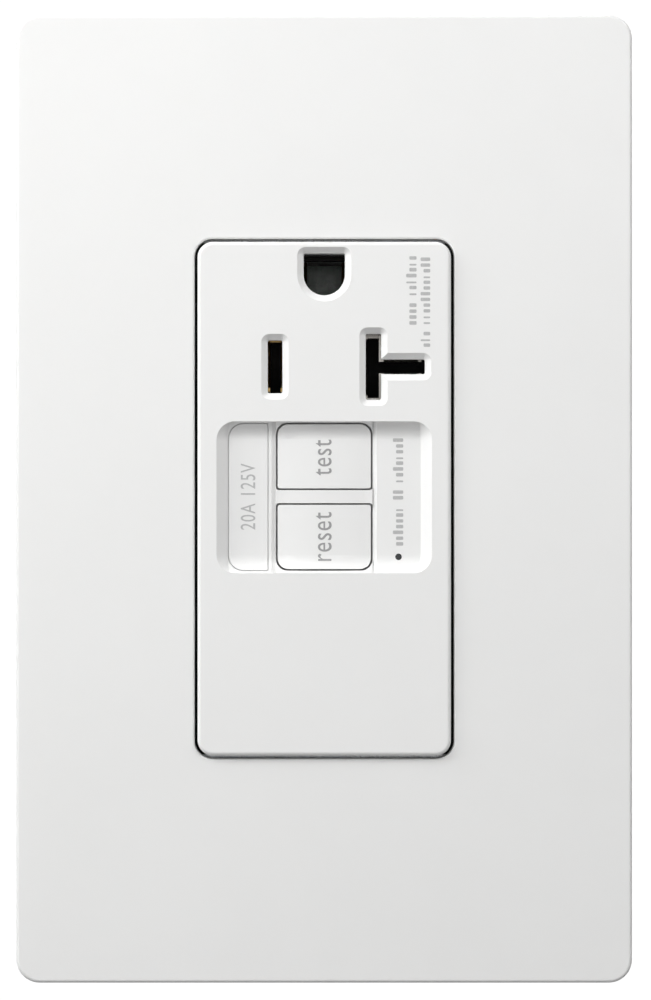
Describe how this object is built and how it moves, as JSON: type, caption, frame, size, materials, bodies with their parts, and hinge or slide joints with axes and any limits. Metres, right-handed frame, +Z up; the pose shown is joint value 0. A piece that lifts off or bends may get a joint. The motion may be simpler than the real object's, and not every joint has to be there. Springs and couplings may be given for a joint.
{
  "type": "gfci outlet",
  "caption": "Wall-mounted ground-fault outlet: clip-fit plate, T-slot receptacle with bevelled openings, recessed panel with test and reset buttons, strap, screw terminals, trip mechanism.",
  "frame": {"origin": "midway between the two device mounting screws, on the wall plane at the back of the strap", "axes": "+X to the right seen from the room, +Y into the wall, +Z up; the face looks along -Y"},
  "size_m": [0.0794, 0.0334, 0.125],
  "materials": {
    "plate_white": "fine satin",
    "face_white": "fine satin",
    "sub_plate_white": "matte",
    "label_white": "smooth satin",
    "button_white": "satin",
    "back_white": "matte",
    "separator_black": "matte",
    "zinc_steel": "bright zinc plate",
    "screw_steel": "zinc plate",
    "green_steel": "green dyed plate",
    "brass": "satin",
    "brass_screw": "satin",
    "nickel": "nickel plate on brass",
    "spring_steel": "bright wire",
    "fibre": "pressed fibre",
    "light_guide": "clear moulded",
    "led_red": "tinted lens",
    "mechanism_white": "moulded nylon",
    "enamel_copper": "enamelled copper wire",
    "bobbin_nylon": "moulded nylon",
    "core_grey": "coated core",
    "board_green": "solder mask over laminate",
    "chip_black": "moulded epoxy",
    "varistor_blue": "dipped epoxy",
    "capacitor_yellow": "moulded box",
    "can_black": "sleeved can",
    "small_tan": "lacquered",
    "insulated_white": "wire insulation",
    "insulated_black": "wire insulation"
  },
  "bodies": {
    "device": {"sub_plate": "sub_plate_white", "sub_plate_screws": "screw_steel", "mounting_strap": "zinc_steel", "mounting_screws": "screw_steel", "screw_retainers": "fibre", "self_ground_clip": "spring_steel", "ground_contact": "brass", "ground_rivets": "brass", "face_cover": "face_white", "label_insert": "label_white", "reset_spring": "spring_steel", "middle_housing": "separator_black", "separator": "separator_black", "back_body": "back_white", "housing_screws": "screw_steel", "light_pipe": "light_guide", "status_led": "led_red", "hot_load_bus": "brass", "neutral_load_bus": "nickel", "line_hot_strip": "brass", "line_neutral_strip": "nickel", "line_hot_terminal": "brass", "line_neutral_terminal": "nickel", "line_hot_conductor": "insulated_black", "line_neutral_conductor": "insulated_white", "test_arm_root": "brass", "test_post": "brass", "circuit_board": "board_green", "coil_cup": "separator_black", "neutral_core": "core_grey", "sense_core": "core_grey", "solenoid_bobbin": "bobbin_nylon", "solenoid_winding": "enamel_copper", "solenoid_yoke": "zinc_steel", "plunger_spring": "spring_steel", "varistor": "varistor_blue", "controller_chip": "chip_black", "trip_thyristor": "chip_black", "film_capacitor": "capacitor_yellow", "filter_capacitor": "can_black", "board_small_parts": "small_tan"},
    "cover": {"cover_plate": "plate_white"},
    "test_key": {"test_button": "button_white"},
    "test_arm": {"test_contact_arm": "spring_steel"},
    "reset_key": {"reset_button": "button_white", "reset_pin": "screw_steel"},
    "trip_carriage": {"lifter": "mechanism_white", "hot_bridge": "brass", "neutral_bridge": "brass"},
    "trip_latch": {"latch": "zinc_steel"},
    "trip_plunger": {"plunger": "screw_steel"},
    "ground_terminal_screw": {"ground_screw": "green_steel"},
    "load_hot_terminal_screw": {"load_hot_screw": "brass_screw", "load_hot_clamp": "zinc_steel"},
    "load_neutral_terminal_screw": {"load_neutral_screw": "nickel", "load_neutral_clamp": "zinc_steel"},
    "line_hot_terminal_screw": {"line_hot_screw": "brass_screw", "line_hot_clamp": "zinc_steel"},
    "line_neutral_terminal_screw": {"line_neutral_screw": "nickel", "line_neutral_clamp": "zinc_steel"}
  },
  "joints": [
    {"name": "cover_pull_off", "type": "slide", "parent": "device", "child": "cover", "axis": [0, -1, 0], "range_m": [0, 0.012]},
    {"name": "test_press", "type": "slide", "parent": "device", "child": "test_key", "axis": [0, 1, 0], "range_m": [0, 0.0015], "stiffness_N_per_m": 1500, "springref_m": -0.001},
    {"name": "test_arm_flex", "type": "hinge", "parent": "device", "child": "test_arm", "pos_m": [-0.0105, 0.00125, 0.0054], "axis": [0, 0, 1], "range_deg": [0, 6.9]},
    {"name": "reset_press", "type": "slide", "parent": "device", "child": "reset_key", "axis": [0, 1, 0], "range_m": [0, 0.0018], "stiffness_N_per_m": 1200, "springref_m": -0.0012, "deforming": ["reset_spring"]},
    {"name": "plunger_strike", "type": "slide", "parent": "device", "child": "trip_plunger", "axis": [0, 0, 1], "range_m": [0, 0.0014], "stiffness_N_per_m": 300, "springref_m": -0.001, "deforming": ["plunger_spring"]},
    {"name": "latch_slide", "type": "slide", "parent": "trip_carriage", "child": "trip_latch", "axis": [0, 0, 1], "range_m": [0, 0.0014]},
    {"name": "carriage_drop", "type": "slide", "parent": "device", "child": "trip_carriage", "axis": [0, 1, 0], "range_m": [0, 0.0012]},
    {"name": "load_hot_tighten", "type": "slide", "parent": "device", "child": "load_hot_terminal_screw", "axis": [1, 0, 0], "range_m": [0, 0.0023]},
    {"name": "load_neutral_tighten", "type": "slide", "parent": "device", "child": "load_neutral_terminal_screw", "axis": [-1, 0, 0], "range_m": [0, 0.0023]},
    {"name": "line_hot_tighten", "type": "slide", "parent": "device", "child": "line_hot_terminal_screw", "axis": [1, 0, 0], "range_m": [0, 0.0023]},
    {"name": "line_neutral_tighten", "type": "slide", "parent": "device", "child": "line_neutral_terminal_screw", "axis": [-1, 0, 0], "range_m": [0, 0.0023]},
    {"name": "ground_screw_back_out", "type": "slide", "parent": "device", "child": "ground_terminal_screw", "axis": [-1, 0, 0], "range_m": [0, 0.0025]}
  ],
  "couplings": [
    {"joint": "test_arm_flex", "follows": "test_press", "rad_per_m": 80},
    {"joint": "latch_slide", "follows": "plunger_strike", "ratio": 1},
    {"joint": "carriage_drop", "follows": "plunger_strike", "ratio": 0.857}
  ]
}
